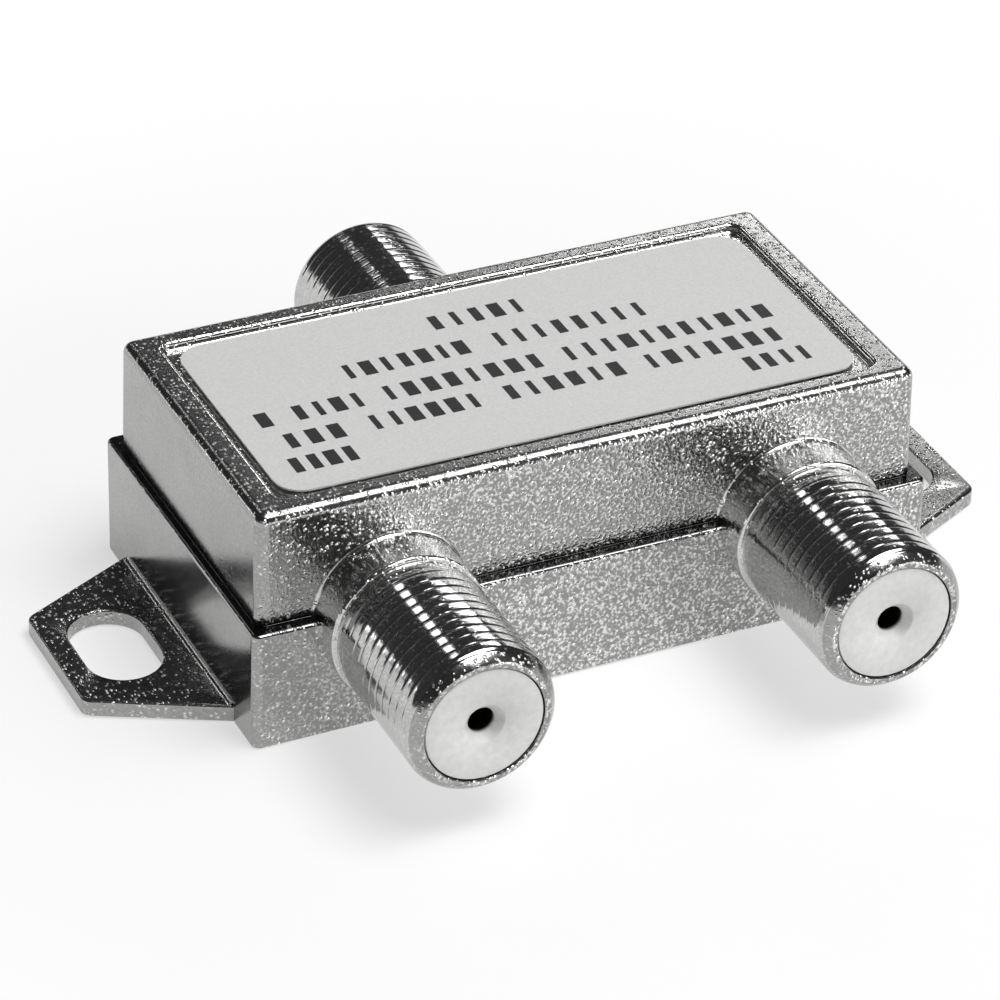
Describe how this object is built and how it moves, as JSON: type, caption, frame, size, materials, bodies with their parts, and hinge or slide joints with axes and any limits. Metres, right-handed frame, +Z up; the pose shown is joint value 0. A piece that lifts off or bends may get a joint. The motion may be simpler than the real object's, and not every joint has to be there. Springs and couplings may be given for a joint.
{
  "type": "rf power splitter",
  "caption": "Die-cast signal splitter with threaded coaxial ports front and back, a stepped box body and a slotted mounting ear at each end.",
  "frame": {"origin": "on the mounting plane under the middle of the casting", "axes": "+X along the long side from one ear to the other, +Y from the output side to the input side, +Z up through the label"},
  "size_m": [0.0606, 0.0488, 0.0154],
  "materials": {
    "nickel_plated_zinc": "nickel plate over a fine-grained zinc casting, with bright specks",
    "tinned_steel": "bright tin plate",
    "satin_label": "satin, light grey",
    "insulator_plastic": "smooth, light grey",
    "contact_bronze": "bright spring bronze",
    "board_laminate": "satin laminate",
    "ferrite": "matt, dark grey",
    "enamelled_copper": "gloss enamel on copper",
    "resistor_film": "satin",
    "capacitor_ceramic": "satin",
    "diode_moulding": "satin"
  },
  "bodies": {
    "root": {"housing": "nickel_plated_zinc", "cover_plate": "tinned_steel", "label": "satin_label", "insulator_input": "insulator_plastic", "insulator_output_left": "insulator_plastic", "insulator_output_right": "insulator_plastic", "contact_input": "contact_bronze", "contact_output_left": "contact_bronze", "contact_output_right": "contact_bronze", "circuit_board": "board_laminate", "matching_core": "ferrite", "matching_winding": "enamelled_copper", "splitting_core": "ferrite", "splitting_winding": "enamelled_copper", "isolation_resistor": "resistor_film", "input_capacitor": "capacitor_ceramic", "output_capacitor_left": "capacitor_ceramic", "output_capacitor_right": "capacitor_ceramic", "power_choke_left": "enamelled_copper", "power_choke_right": "enamelled_copper", "power_diode_left": "diode_moulding", "power_diode_right": "diode_moulding"}
  },
  "joints": []
}
